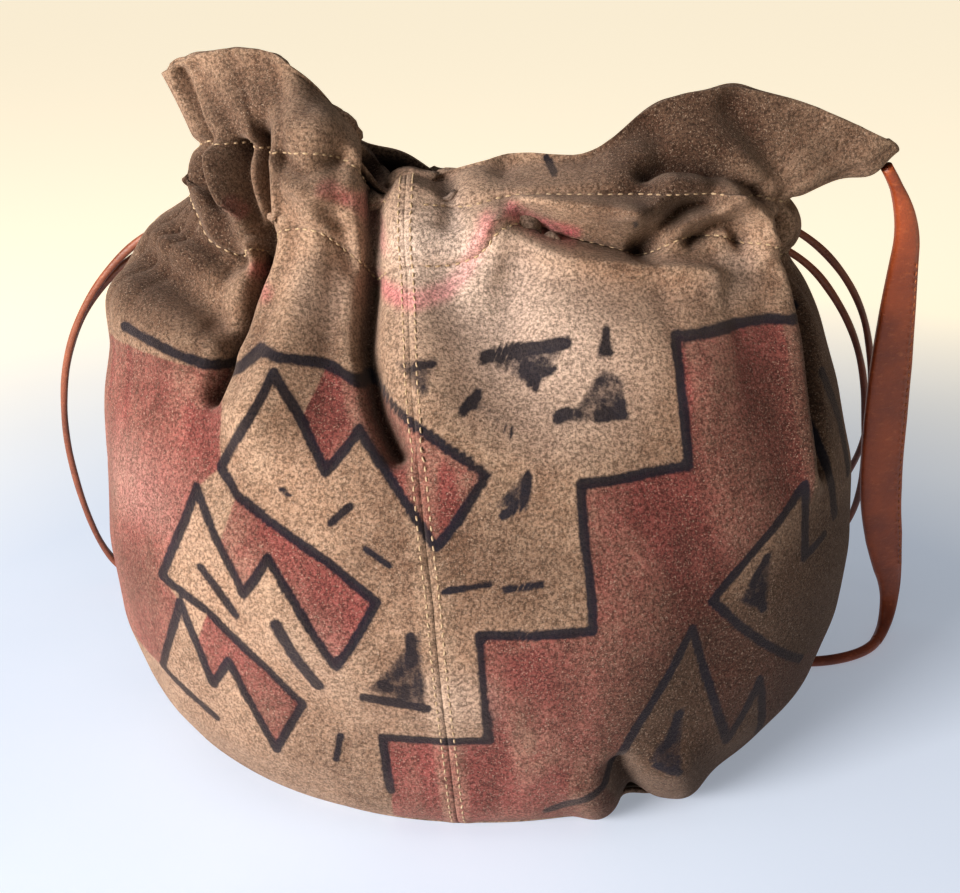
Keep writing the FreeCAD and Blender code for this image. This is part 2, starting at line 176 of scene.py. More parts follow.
# Folds of the front: drawn line in the front view, half width, height; minus is a crease (mm)
FOLDS = [
    ([(-119, 284), (-112, 268), (-106, 256)], 2.6, -6.0),
    ([(-110, 256), (-104, 240), (-99, 226), (-94, 216)], 2.8, -9.0),
    ([(-102, 256), (-98, 242), (-93, 228), (-88, 219)], 3.4, 9.0),
    ([(-94, 258), (-92, 246), (-89, 232), (-85, 218)], 2.6, -10.0),
    ([(-116, 246), (-112, 238), (-104, 230)], 3.2, 5.0),
    ([(-124, 226), (-112, 222), (-100, 214)], 4.0, -6.0),
    ([(-84, 266), (-82, 250), (-82, 232), (-85, 212), (-93, 190), (-101, 172)], 3.2, -14.0),
    ([(-78, 254), (-76, 244), (-75, 230), (-79, 208), (-88, 184)], 4.0, 6.0),
    ([(-64, 258), (-61, 242), (-61, 226), (-66, 206), (-74, 186), (-84, 166)], 12.0, 12.0),
    ([(-74, 255), (-64, 250), (-54, 254)], 2.6, -5.0),
    ([(-72, 246), (-62, 241), (-50, 245)], 3.0, 4.0),
    ([(-58, 236), (-52, 226), (-50, 214)], 3.0, -4.0),
    ([(-43, 266), (-41, 246), (-41, 228), (-42, 208), (-43, 190), (-38, 172), (-30, 158)], 3.4, -17.0),
    ([(-30, 237), (-27, 222), (-25, 198), (-20, 178)], 13.0, 7.0),
    ([(-14, 243), (-11, 236), (-12, 229)], 2.6, -6.0),
    ([(2, 243), (6, 233), (5, 222), (0, 208)], 7.0, 7.0),
    ([(4, 240), (7, 247), (10, 253)], 2.4, -5.0),
    ([(14, 238), (28, 237), (44, 236), (58, 234)], 3.8, 7.0),
    ([(56, 233), (64, 235), (68, 240), (74, 243), (86, 242), (97, 239)], 4.4, 9.0),
    ([(97, 239), (105, 234), (110, 227), (111, 217)], 4.2, 6.0),
    ([(9, 237), (16, 234), (28, 229), (42, 225), (56, 222), (66, 221)], 4.2, -8.5),
    ([(64, 222), (71, 226), (75, 231), (81, 236), (88, 237)], 4.0, -12.0),
    ([(73, 226), (82, 231), (92, 234)], 3.0, 6.0),
    ([(84, 224), (93, 229), (99, 229), (104, 223)], 3.2, -9.0),
    ([(64, 249), (72, 253), (84, 253), (98, 249), (112, 240)], 3.2, -9.0),
    ([(8, 229), (22, 221), (34, 217), (48, 215), (62, 213), (76, 211), (90, 208)], 4.8, 8.0),
    ([(30, 198), (60, 188), (84, 180)], 16.0, 5.0),
    ([(114, 216), (119, 206), (122, 186), (124, 160), (130, 138)], 6.0, 6.0),
    ([(118, 226), (124, 212), (130, 185), (131, 160), (134, 140)], 3.6, -13.0),
    ([(-140, 214), (-124, 208), (-106, 200), (-94, 192)], 6.0, -8.0),
    ([(-146, 196), (-128, 190), (-112, 182)], 12.0, 5.0),
    ([(-20, 262), (10, 258), (40, 262)], 10.0, -3.0),
    ([(60, 270), (76, 256), (92, 250)], 6.0, -4.0),
    ([(100, 272), (112, 258), (122, 244)], 6.0, -5.0),
    ([(-112, 284), (-98, 268), (-92, 256)], 5.0, -4.0),
    ([(-74, 288), (-72, 272), (-76, 258)], 6.0, 4.0),
    ([(54, 34), (60, 18), (64, 2)], 5.0, -9.0),
    ([(40, 26), (46, 12), (48, 2)], 8.0, 4.0),
    ([(76, 30), (82, 14), (84, 2)], 10.0, 6.0),
    ([(-10, 160), (10, 148), (30, 150)], 18.0, 3.5),
    ([(-92, 122), (-70, 96), (-50, 80)], 16.0, 3.0),
    ([(70, 140), (84, 110), (92, 80)], 18.0, -3.0),
    ([(-60, 60), (-30, 44), (0, 40)], 16.0, -2.5),
]


def section_point(angle, half_width, half_depth, roundness):
    power = 2.0 / roundness
    sine = np.sin(angle)
    cosine = np.cos(angle)
    x = half_width * np.sign(sine) * np.abs(sine) ** power
    y = -half_depth * np.sign(cosine) * np.abs(cosine) ** power
    return x, y


def seam_shift(height):
    """Where the front seam stands: it leans, left of the middle at the neck."""
    return np.interp(height, [0.0, 59.0, 108.0, 142.0, 177.0, 213.0, 240.0],
                     [-8.0, -13.0, -17.0, -21.0, -25.0, -28.0, -29.0])


def column_angles(base_angle, height, half_width, roundness):
    lean = -np.arcsin((-seam_shift(height) / half_width) ** (roundness / 2.0))
    return base_angle + lean * np.exp(-(base_angle / 0.75) ** 2)


def shape_column(height, index):
    return table([(row[0], row[index]) for row in BODY_SHAPE], height)


def front_back(front_points, back_points, x, front_share):
    return front_share * table(front_points, x) + (1.0 - front_share) * table(back_points, x)


def pleats(angle, amount):
    """Gathers round the neck: rounded ridges with tighter creases between them."""
    wander = angle + 0.05 * np.sin(5.0 * angle + 1.0) + 0.03 * np.sin(11.0 * angle)
    wave = 1.0 - np.abs(np.sin(wander * 13.0))
    return amount * (0.45 - wave ** 1.6) * (1.0 + 0.4 * np.sin(3.0 * angle + 2.0))


def blurred(values, across, upright):
    """Soften a field on the shell's grid, round it and up it."""
    for _ in range(across):
        values = (np.roll(values, 1, axis=1) + 2.0 * values + np.roll(values, -1, axis=1)) / 4.0
    for _ in range(upright):
        inner = (values[:-2] + 2.0 * values[1:-1] + values[2:]) / 4.0
        values = np.concatenate([values[:1], inner, values[-1:]])
    return values


def lowest_near(values, across, upright):
    """The deepest relief nearby, so that what lies inside the shell stays behind its creases."""
    lowest = values
    for shift in range(-across, across + 1):
        lowest = np.minimum(lowest, np.roll(values, shift, axis=1))
    result = lowest.copy()
    for shift in range(1, upright + 1):
        result[shift:] = np.minimum(result[shift:], lowest[:-shift])
        result[:-shift] = np.minimum(result[:-shift], lowest[shift:])
    return result


def shell_rows():
    """Row parameters from the base (0) over the stitch rows (1 and 2) to the rim (3)."""
    body = np.linspace(0.0, 1.0, BODY_ROWS, endpoint=False)
    casing = 1.0 + np.linspace(0.0, 1.0, CASING_ROWS, endpoint=False)
    ruffle = 2.0 + np.linspace(0.0, 1.0, RUFFLE_ROWS)
    return np.concatenate([body, casing, ruffle])


def shell_points():
    base_angle = -math.pi + 2.0 * math.pi * np.arange(COLUMNS) / COLUMNS
    rows = shell_rows()
    angle, level = np.meshgrid(base_angle, rows)
    front_share = smoothstep(-0.25, 0.25, np.cos(angle))
    neck_angle = column_angles(angle, np.full(angle.shape, 225.0), 122.0, 2.7)
    guess_x, _ = section_point(neck_angle, 122.0, 42.0, 2.7)
    lower = front_back(LOWER_ROW_FRONT, LOWER_ROW_BACK, guess_x, front_share)
    upper = front_back(UPPER_ROW_FRONT, UPPER_ROW_BACK, guess_x, front_share)
    rim_z = front_back([(p[0], p[2]) for p in RIM_FRONT], [(p[0], p[2]) for p in RIM_BACK],
                       guess_x, front_share)
    rim_dx = front_back([(p[0], p[1]) for p in RIM_FRONT], [(p[0], p[1]) for p in RIM_BACK],
                        guess_x, front_share)
    rim_z = np.maximum(rim_z, upper + 1.5)
    body_level = np.clip(level, 0.0, 1.0)
    casing_level = np.clip(level - 1.0, 0.0, 1.0)
    ruffle_level = np.clip(level - 2.0, 0.0, 1.0)
    height = lower * body_level + (upper - lower) * casing_level + (rim_z - upper) * ruffle_level

    sample = np.minimum(height, 230.0)
    half_width = shape_column(sample, 1)
    half_depth = shape_column(sample, 2)
    roundness = shape_column(sample, 3)
    turned = column_angles(angle, sample, half_width, roundness)
    gathered = smoothstep(0.0, 0.3, casing_level)
    shoulder = table(LEFT_SHOULDER, height) * smoothstep(0.2, 1.0, -np.sin(turned)) * (1.0 - gathered)
    x, y = section_point(turned, half_width + shoulder, half_depth, roundness)

    # the neck is narrower on the left, and the ears close up towards the rim
    x = x + gathered * 6.0 * smoothstep(-40.0, -118.0, x)
    x = x + smoothstep(195.0, 232.0, height) * 8.0 * smoothstep(60.0, 125.0, x)
    flat = 1.0 - 0.10 * casing_level - 0.52 * smoothstep(0.0, 0.9, ruffle_level)
    y = y * flat
    x = x + rim_dx * ruffle_level ** 1.1

    smooth = np.stack([x, y, height], axis=2)
    normal = grid_normals(smooth)

    # gathers, strongest at the stitch rows
    gather = smoothstep(150.0, 214.0, height) * (1.0 - 0.55 * ruffle_level)
    relief = pleats(angle, 6.5) * gather * (1.0 - 0.70 * front_share)

    # puffed channel between the stitch rows
    relief = relief + 3.4 * np.sin(math.pi * np.clip(level - 1.0, 0.0, 1.0))
    relief = relief - 2.4 * np.exp(-((level - 1.0) / 0.05) ** 2) - 2.0 * np.exp(-((level - 2.0) / 0.08) ** 2)

    # folds of the front
    facing = smoothstep(-0.05, 0.35, np.cos(angle))
    for path, width, rise in FOLDS:
        distance = distance_to_path(x, height, path)
        relief = relief + rise * np.exp(-(distance / width) ** 2) * facing
    knot_bulge = np.exp(-((x - 158.0) ** 2 + (height - 249.0) ** 2) / 9.0 ** 2)
    relief = relief + 5.0 * knot_bulge
    slack = 1.4 * ripple(x, y, height, 26.0, 3) + 0.5 * ripple(x, y, height, 9.0, 5)
    relief = relief + slack * smoothstep(4.0, 30.0, height)
    seam = np.abs(angle) * half_width
    relief = relief + 0.9 * np.exp(-(seam / 4.5) ** 4) - 0.8 * np.exp(-(seam / 1.0) ** 2)
    relief = blurred(relief, 2, 1)
    points = smooth + normal * relief[..., None]
    points[..., 2] = np.maximum(points[..., 2], 0.4)
    # painted shade: how far each point lies below the relief around it, used to darken the suede in creases
    painted_crease_shade = np.clip(-(relief - blurred(relief, 60, 14)) / 6.0, 0.0, 1.0)
    inner = smooth + normal * blurred(lowest_near(relief, 18, 6), 60, 10)[..., None]
    return points * MM, inner * MM, angle, level, painted_crease_shade


POINTS, INNER_POINTS, ANGLE, LEVEL, PAINTED_CREASE_SHADE = shell_points()
NORMALS = grid_normals(POINTS)
INNER_NORMALS = grid_normals(INNER_POINTS)
ROW_LOWER = BODY_ROWS
ROW_UPPER = BODY_ROWS + CASING_ROWS
ROW_RIM = BODY_ROWS + CASING_ROWS + RUFFLE_ROWS - 1
MIDDLE = COLUMNS // 2   # column of the front seam

# ------------------------------------------------------------------ painted pattern (front view, mm)

# Left: three bands of one shape, each one drop below the last, further left and narrower
BAND_START = (3, 152)   # right-hand tip of the top band
BAND_DROP = 45
BAND_SHIFTS = [0, 40, 70]
BAND_WIDTHS = [1.08, 0.94, 0.66]
# From the tip: upper edge (start, middle), tip, notch, tooth, valley, peak, corner below the peak
BAND_SHAPE = [(-56, 33), (-20, 14), (0, 0), (-18, -24), (-44, 13), (-55, -1), (-74, 33), (-92, -4)]
SHOULDER_HIGH = 190     # the line over the left shoulder, from the side to above the top band's corner
SHOULDER_LOW = 180
# Right: a staircase of even runs that comes down to the left
STAIR_START = (74, 194)
STAIR_DROPS = (44, 54, 46, 27)
STAIR_RUN = 40
STAIR_LEAN = 3
RIGHT_EDGE = 128        # where the front's red stops
FIELD_FOOT = 60         # lowest height of the red at the left side
FAR_SIDE = 170
ARROW = [(124, 138), (88, 101), (130, 60)]
MOUNTAIN = [(48, 28), (80, 92), (98, 34), (110, 62), (114, 26)]


def band_points(tip, width):
    return [(tip[0] + width * across, tip[1] + up) for across, up in BAND_SHAPE]


def stairs():
    """The staircase from its top right end, one drop and one run at a time."""
    x, z = STAIR_START
    path = [(RIGHT_EDGE, z - 1), (x, z)]
    for drop in STAIR_DROPS:
        x = x + STAIR_LEAN
        z = z - drop
        path.append((x, z))
        x = x - STAIR_RUN
        path.append((x, z))
    return path[:-1]


def band_red(band):
    """The red of a band: inside its edge and teeth, closed half way up to the peak."""
    valley, peak = band[5], band[6]
    return band[:6] + [((valley[0] + peak[0]) / 2, (valley[1] + peak[1]) / 2)]


BANDS = [band_points((BAND_START[0] - shift, BAND_START[1] - number * BAND_DROP), width)
         for number, (shift, width) in enumerate(zip(BAND_SHIFTS, BAND_WIDTHS))]
SHOULDER_LINE = [(-140, SHOULDER_HIGH), (BANDS[0][7][0], SHOULDER_LOW)]
LEFT_FLANK = [BANDS[0][7], BANDS[1][6], BANDS[1][7], BANDS[2][6], BANDS[2][7]]
INK_LINES = [
    SHOULDER_LINE + [(-82, 192)] + BANDS[0] + BANDS[1] + BANDS[2] + [(-104, 44)],
    stairs(),
    ARROW,
    [ARROW[0], (127, 108), (136, 113)],
    MOUNTAIN,
    [(26, 14), MOUNTAIN[0]],
    [(129, 156), (136, 140), (142, 118)],
    [(138, 170), (146, 150), (150, 130)],
]
RED_FIELDS = [band_red(band) for band in BANDS] + [
    [(-FAR_SIDE, 186)] + SHOULDER_LINE[1:] + LEFT_FLANK + [(-FAR_SIDE, FIELD_FOOT)],
    stairs() + [(-34, -6), (FAR_SIDE, -6), (FAR_SIDE, FIELD_FOOT), (RIGHT_EDGE, FIELD_FOOT)],
]
# Places left tan inside the red
TAN_SHAPES = [ARROW + [(140, 100)], MOUNTAIN + [(60, -6)]]


def standing_dart(x, top, bottom, width):
    """A triangle with an upright right side and its left corner a quarter of the way up."""
    return [(x, top), (x - width, bottom + (top - bottom) / 4), (x, bottom)]


# Outlines filled with a thin wash of ink
INK_WASHES = [
    standing_dart(-21, 98, 66, 22), standing_dart(111, 116, 92, 12), standing_dart(79, 60, 30, 13),
    [(0, 188), (34, 193), (21, 177)],
    [(48, 198), (43, 187), (50, 187)],
    [(47, 185), (37, 174), (29, 169), (55, 168), (54, 180)],
    [(0, 177), (-7, 171), (3, 172), (12, 164)],
    standing_dart(18, 153, 139, 12),
    [(-31, 187), (-16, 189), (-19, 176)],
]
# Full brush dabs: drawn line, half width
INK_DABS = [
    ([(2, 187), (12, 189), (24, 191), (33, 192)], 2.1), ([(17, 184), (20, 181)], 2.6), ([(21, 180), (21, 178)], 1.4),
    ([(24, 183), (28, 184)], 1.2),
    ([(26, 252), (28, 248)], 1.5), ([(59, 233), (60, 231)], 0.9), ([(-23, 187), (-17, 187)], 1.5),
    ([(48, 196), (48, 189)], 1.4), ([(47, 190), (49, 189)], 1.8),
    ([(29, 170), (32, 171)], 2.1), ([(44, 170), (53, 170)], 1.9), ([(52, 171), (53, 173)], 1.6),
    ([(-5, 172), (0, 176)], 2.0), ([(0, 177), (1, 178)], 1.2), ([(11, 166), (13, 165)], 1.2),
    ([(18, 152), (17, 144)], 1.7), ([(8, 139), (14, 141)], 1.4),
    ([(-13, 112), (2, 115)], 1.2), ([(8, 113), (21, 114)], 1.2),
    ([(-25, 95), (-26, 84)], 1.8), ([(-44, 70), (-32, 68), (-21, 66)], 1.9), ([(-38, 77), (-34, 74)], 1.6),
    ([(-53, 49), (-55, 38)], 1.4),
    ([(-76, 97), (-70, 86), (-61, 73)], 2.4), ([(-106, 112), (-92, 97)], 1.8),
    ([(-54, 134), (-47, 140)], 1.4), ([(-41, 126), (-32, 120)], 1.2), ([(-72, 144), (-69, 142)], 1.0),
    ([(109, 113), (104, 104)], 1.6), ([(106, 98), (110, 93)], 1.6),
    ([(77, 56), (74, 44)], 1.8), ([(69, 36), (78, 31)], 1.6),
]


def inside(x, z, outline):
    """Even-odd test of points against a closed outline."""
    result = np.zeros(x.shape, dtype=bool)
    for (x0, z0), (x1, z1) in zip(outline, outline[1:] + outline[:1]):
        if z0 == z1:
            continue
        crosses = (z0 > z) != (z1 > z)
        meet = x0 + (z - z0) * (x1 - x0) / (z1 - z0)
        result ^= crosses & (x < meet)
    return result


def distance_outside(x, z, outlines):
    """Distance to the nearest outline, negative within it."""
    nearest = np.full(x.shape, 99.0)
    for outline in outlines:
        edge = distance_to_path(x, z, outline + outline[:1])
        nearest = np.minimum(nearest, np.where(inside(x, z, outline), -edge, edge))
    return nearest


SIDE_RADIUS = 120.0
SIDE_LINE_TOP = 193.0


def paint_values(points, angle):
    """How strongly each point of the shell is inked and dyed red, 0 to 1 with soft edges."""
    x = points[..., 0] / MM
    z = points[..., 2] / MM
    back = np.cos(angle) < 0.0
    x = np.where(back, -0.94 * x + 9.0, x)
    x = x + 1.4 * ripple(x, 0.0 * x, z, 11.0, 21)
    z = z + 1.4 * ripple(x, 0.0 * x, z, 10.0, 22)
    line = np.full(x.shape, 99.0)
    for path in INK_LINES:
        line = np.minimum(line, distance_to_path(x, z, path))
    # an ink line down each side, where the front's design meets the back's
    line = np.minimum(line, np.abs(np.cos(angle)) * SIDE_RADIUS + np.where(z > SIDE_LINE_TOP, 99.0, 0.0))
    for path, half_width in INK_DABS:
        line = np.minimum(line, distance_to_path(x, z, path) - half_width + 1.8)
    wash = distance_outside(x, z, INK_WASHES)
    red = np.maximum(distance_outside(x, z, RED_FIELDS), -distance_outside(x, z, TAN_SHAPES))
    ink = np.maximum(1.0 - smoothstep(0.4, 3.2, line), 0.6 * (1.0 - smoothstep(-1.5, 2.2, wash)))
    dye = 1.0 - smoothstep(-1.6, 1.6, red)
    return ink, dye


INK, DYE = paint_values(POINTS, ANGLE)
# lighter on bent-out ridges and along the rim: partly wear, partly painted highlight
BENDING = -((np.roll(POINTS, 3, axis=1) + np.roll(POINTS, -3, axis=1) - 2.0 * POINTS) * NORMALS).sum(axis=2)
RIDGE = np.clip(BENDING / MM * 2.0, 0.0, 0.6) + 0.8 * np.exp(-((3.0 - LEVEL) / 0.05) ** 2)


# Strokes of pink dye across the front of the casing: drawn line, reach, strength
PINK_STROKES = [
    ([(-40, 208), (-26, 206), (-13, 208), (-7, 213), (-2, 222), (3, 233)], 5.0, 1.0),
    ([(12, 236), (22, 230), (36, 226)], 5.0, 0.9),
    ([(-88, 212), (-82, 208)], 5.0, 0.6),
    ([(-58, 246), (-46, 240), (-40, 230), (-38, 222)], 5.0, 0.5),
    ([(-97, 238), (-93, 234)], 4.0, 0.6),
]


def pink_stain(points):
    """How strongly each point is stained pink."""
    x = points[..., 0] / MM
    z = points[..., 2] / MM
    strength = np.zeros(x.shape)
    for path, reach, most in PINK_STROKES:
        strength = np.maximum(strength, most * (1.0 - smoothstep(0.8, reach, distance_to_path(x, z, path))))
    return strength * (points[..., 1] < 0.0)


STAIN = pink_stain(POINTS)

# Painted highlights (plus) and painted shade (minus) by place: sideways, height, reach (mm), strength
PAINTED_LIGHT_PLACES = [
    (-20, 224, 16, 0.9), (30, 192, 34, 0.55), (-60, 208, 14, 0.3), (-118, 70, 26, 0.05), (-62, 84, 20, 0.1),
    (0, 210, 22, 0.5), (-136, 130, 24, 0.2), (-8, 70, 16, 0.3), (100, 212, 12, 0.4),
    (-132, 220, 34, -1.3), (-118, 236, 16, -0.9), (-92, 270, 28, -0.8), (-70, 250, 14, -0.4),
    (70, 268, 30, -1.1), (66, 252, 16, -0.7), (110, 266, 26, -0.8), (146, 252, 20, -0.5),
    (50, 226, 16, -0.5), (80, 234, 14, -0.5), (146, 168, 30, -1.2), (138, 196, 11, -1.0),
    (134, 215, 10, -1.0), (146, 100, 28, -1.0), (122, 34, 46, -1.7), (58, 12, 26, -0.7),
    (104, 76, 50, -0.8), (64, 60, 28, -0.4), (-134, 96, 18, -0.4),
    (8, 118, 28, -0.6), (-84, 26, 40, -0.3), (-30, 150, 20, -0.3), (100, 160, 24, -0.4),
    (-100, 224, 12, -0.4), (-84, 196, 12, -0.3),
]


def painted_light_values(points, angle):
    """Painted light and shade on the front by place, and the back darkened all over."""
    x = points[..., 0] / MM
    z = points[..., 2] / MM
    painted_light = np.zeros(x.shape)
    # painted highlights and painted shade, summed from soft spots
    for place_x, place_z, reach, strength in PAINTED_LIGHT_PLACES:
        painted_light = painted_light + strength * np.exp(-((x - place_x) ** 2 + (z - place_z) ** 2) / reach ** 2)
    front = smoothstep(-0.3, 0.3, np.cos(angle))
    return painted_light * front - 0.35 * (1.0 - front)


PAINTED_LIGHT = painted_light_values(POINTS, ANGLE)

# ------------------------------------------------------------------ materials


class Shader:
    """A short way to build node materials."""

    def __init__(self, name):
        self.material = bpy.data.materials.new(name)
        self.material.use_nodes = True
        self.tree = self.material.node_tree
        self.principled = self.tree.nodes["Principled BSDF"]

    def node(self, kind, **inputs):
        node = self.tree.nodes.new(kind)
        for key, value in inputs.items():
            name = key.replace("_", " ").title()
            if name in node.inputs:
                node.inputs[name].default_value = value
            else:
                setattr(node, key, value)
        return node

    def link(self, source, target):
        self.tree.links.new(source, target)

    def position(self, scale=(1.0, 1.0, 1.0)):
        coordinate = self.node("ShaderNodeTexCoord")
        mapping = self.node("ShaderNodeMapping")
        mapping.inputs["Scale"].default_value = scale
        self.link(coordinate.outputs["Object"], mapping.inputs["Vector"])
        return mapping.outputs["Vector"]

    def noise(self, scale, detail=4.0, roughness=0.6, stretch=(1.0, 1.0, 1.0)):
        node = self.node("ShaderNodeTexNoise", scale=scale, detail=detail, roughness=roughness)
        self.link(self.position(stretch), node.inputs["Vector"])
        return node.outputs["Fac"]

    def ramp(self, source, low, high, low_value=0.0, high_value=1.0):
        node = self.node("ShaderNodeMapRange")
        node.inputs["From Min"].default_value = low
        node.inputs["From Max"].default_value = high
        node.inputs["To Min"].default_value = low_value
        node.inputs["To Max"].default_value = high_value
        self.link(source, node.inputs["Value"])
        return node.outputs["Result"]

    def maths(self, operation, first, second):
        node = self.node("ShaderNodeMath")
        node.operation = operation
        for socket, value in zip(node.inputs, (first, second)):
            if isinstance(value, (int, float)):
                socket.default_value = value
            else:
                self.link(value, socket)
        return node.outputs["Value"]

    def mix(self, factor, first, second, blend="MIX"):
        node = self.node("ShaderNodeMix")
        node.data_type = "RGBA"
        node.blend_type = blend
        for name, value in (("Factor", factor), ("A", first), ("B", second)):
            sockets = [s for s in node.inputs if s.name == name and s.enabled]
            socket = sockets[0]
            if isinstance(value, tuple) or isinstance(value, (int, float)):
                socket.default_value = value
            else:
                self.link(value, socket)
        return [s for s in node.outputs if s.enabled][0]

    def attribute(self, name):
        node = self.node("ShaderNodeAttribute")
        node.attribute_name = name
        return node.outputs["Fac"]

    def bump(self, height, strength, distance, below=None):
        node = self.node("ShaderNodeBump")
        node.inputs["Strength"].default_value = strength
        node.inputs["Distance"].default_value = distance
        self.link(height, node.inputs["Height"])
        if below is not None:
            self.link(below, node.inputs["Normal"])
        return node.outputs["Normal"]

    def finish(self, colour, normal, roughness, sheen=0.0, specular=0.5, coat=0.0):
        self.link(colour, self.principled.inputs["Base Color"])
        self.link(normal, self.principled.inputs["Normal"])
        if isinstance(roughness, float):
            self.principled.inputs["Roughness"].default_value = roughness
        else:
            self.link(roughness, self.principled.inputs["Roughness"])
        self.principled.inputs["Sheen Weight"].default_value = sheen
        self.principled.inputs["Sheen Roughness"].default_value = 0.45
        self.principled.inputs["Specular IOR Level"].default_value = specular
        self.principled.inputs["Coat Weight"].default_value = coat
        self.principled.inputs["Coat Roughness"].default_value = 0.35
        return self.material


def suede(name, painted):
    shader = Shader(name)
    patch = shader.noise(17.0, 5.0, 0.62)
    nap = shader.noise(150.0, 6.0, 0.75)
    fibre = shader.noise(850.0, 5.0, 0.8)
    speck = shader.noise(1500.0, 2.0, 0.6)
    colour = shader.mix(shader.ramp(patch, 0.32, 0.68), srgb(98, 74, 59), srgb(154, 124, 102))
    colour = shader.mix(shader.ramp(nap, 0.36, 0.72, 0.0, 0.42), colour, srgb(184, 156, 134))
    if painted:
        streak = shader.noise(60.0, 6.0, 0.72, (1.0, 1.0, 0.35))
        light_red = shader.mix(shader.ramp(streak, 0.3, 0.7), srgb(84, 39, 38), srgb(140, 76, 72))
        red_edge = shader.maths("ADD", shader.attribute("dye"), shader.ramp(nap, 0.3, 0.7, -0.22, 0.22))
        red = shader.ramp(red_edge, 0.35, 0.72, 0.0, 0.93)
        colour = shader.mix(red, colour, light_red)
        stain = shader.maths("MULTIPLY", shader.attribute("stain"), shader.ramp(nap, 0.3, 0.6, 0.5, 1.0))
        colour = shader.mix(stain, colour, srgb(192, 84, 100))
    # lighter on ridges and the rim: partly wear, partly painted highlight
    wear_and_highlight = shader.maths("MULTIPLY", shader.attribute("ridge"), shader.ramp(nap, 0.3, 0.6, 0.1, 0.5))
    colour = shader.mix(wear_and_highlight, colour, srgb(178, 152, 128))
    # painted shade in the creases: the suede turns dark brown where the shell folds in
    crease_shade_amount = shader.maths("MULTIPLY", shader.attribute("painted_crease_shade"), 0.82)
    colour = shader.mix(crease_shade_amount, colour, srgb(58, 42, 34))
    # painted highlight where the place value is above zero, painted shade where it is below
    painted_highlight = shader.ramp(shader.attribute("painted_light"), 0.0, 1.0, 0.0, 0.62)
    colour = shader.mix(painted_highlight, colour, srgb(214, 194, 180))
    painted_shade = shader.ramp(shader.attribute("painted_light"), -1.0, 0.0, 0.86, 0.0)
    colour = shader.mix(painted_shade, colour, srgb(58, 40, 31))
    fibres = shader.ramp(fibre, 0.42, 0.58, 0.5, 1.52)
    colour = shader.mix(1.0, colour, fibres, "MULTIPLY")
    light = shader.ramp(speck, 0.58, 0.72, 0.0, 0.5)
    colour = shader.mix(light, colour, srgb(196, 174, 154))
    if painted:
        broken = shader.maths("ADD", shader.attribute("ink"), shader.ramp(nap, 0.25, 0.75, -0.26, 0.25))
        inked = shader.ramp(broken, 0.28, 0.66, 0.0, 0.93)
        colour = shader.mix(inked, colour, shader.mix(shader.ramp(streak, 0.3, 0.7), srgb(13, 15, 24),
                                                      srgb(31, 34, 46)))
    soft = shader.bump(nap, 0.35, 0.0016)
    normal = shader.bump(fibre, 0.8, 0.0009, soft)
    shader.principled.inputs["Sheen Tint"].default_value = srgb(226, 200, 180)
    return shader.finish(colour, normal, 0.95, sheen=0.35, specular=0.12)


def leather(name, dark, middle, light, coat):
    shader = Shader(name)
    patch = shader.noise(45.0, 5.0, 0.6)
    grain = shader.node("ShaderNodeTexVoronoi", scale=900.0)
    shader.link(shader.position(), grain.inputs["Vector"])
    wrinkle = shader.noise(260.0, 5.0, 0.6, (1.0, 1.0, 2.2))
    colour = shader.mix(shader.ramp(patch, 0.3, 0.7), dark, middle)
    colour = shader.mix(shader.ramp(wrinkle, 0.55, 0.8, 0.0, 0.5), colour, light)
    wear_and_highlight = shader.maths("MULTIPLY", shader.attribute("ridge"), shader.ramp(patch, 0.3, 0.6, 0.3, 0.9))
    colour = shader.mix(wear_and_highlight, colour, light)
    soft = shader.bump(wrinkle, 0.5, 0.0007)
    normal = shader.bump(grain.outputs["Distance"], 0.22, 0.0004, soft)
    rough = shader.ramp(patch, 0.3, 0.7, 0.36, 0.52)
    return shader.finish(colour, normal, rough, specular=0.5, coat=coat)


def thread_material(name, dark, light):
    shader = Shader(name)
    twist = shader.noise(2600.0, 2.0, 0.5, (1.0, 1.0, 0.4))
    colour = shader.mix(shader.ramp(twist, 0.3, 0.7), dark, light)
    return shader.finish(colour, shader.bump(twist, 0.4, 0.0003), 0.7, sheen=0.1, specular=0.3)


def cloth_material():
    shader = Shader("lining_weave")
    across = shader.node("ShaderNodeTexWave", scale=900.0)
    across.bands_direction = "X"
    upright = shader.node("ShaderNodeTexWave", scale=900.0)
    upright.bands_direction = "Z"
    for wave in (across, upright):
        shader.link(shader.position(), wave.inputs["Vector"])
    weave = shader.maths("ADD", across.outputs["Fac"], upright.outputs["Fac"])
    patch = shader.noise(30.0)
    colour = shader.mix(shader.ramp(patch, 0.3, 0.7), srgb(92, 76, 62), srgb(124, 106, 88))
    return shader.finish(colour, shader.bump(weave, 0.5, 0.0003), 0.9, sheen=0.2, specular=0.15)


def floor_material():
    """Pale table top that glows as painted light: cool white round the bag, warmer and glowing brighter far from it.
    """
    shader = Shader("pale_table")
    patch = shader.noise(3.0, 3.0, 0.5)
    near = shader.mix(shader.ramp(patch, 0.3, 0.7), srgb(198, 207, 220), srgb(206, 214, 226))
    reach = shader.node("ShaderNodeVectorMath")
    reach.operation = "LENGTH"
    shader.link(shader.position(), reach.inputs[0])
    far = shader.ramp(reach.outputs["Value"], FLOOR_NEAR, FLOOR_FAR)
    colour = shader.mix(far, near, srgb(232, 220, 196))
    # painted light: the table top glows, more strongly far from the bag
    shader.link(colour, shader.principled.inputs["Emission Color"])
    glow = shader.ramp(reach.outputs["Value"], FLOOR_NEAR, FLOOR_FAR, 0.40, 0.86)
    shader.link(glow, shader.principled.inputs["Emission Strength"])
    return shader.finish(colour, shader.bump(shader.noise(400.0), 0.03, 0.0002), 0.55, specular=0.3)


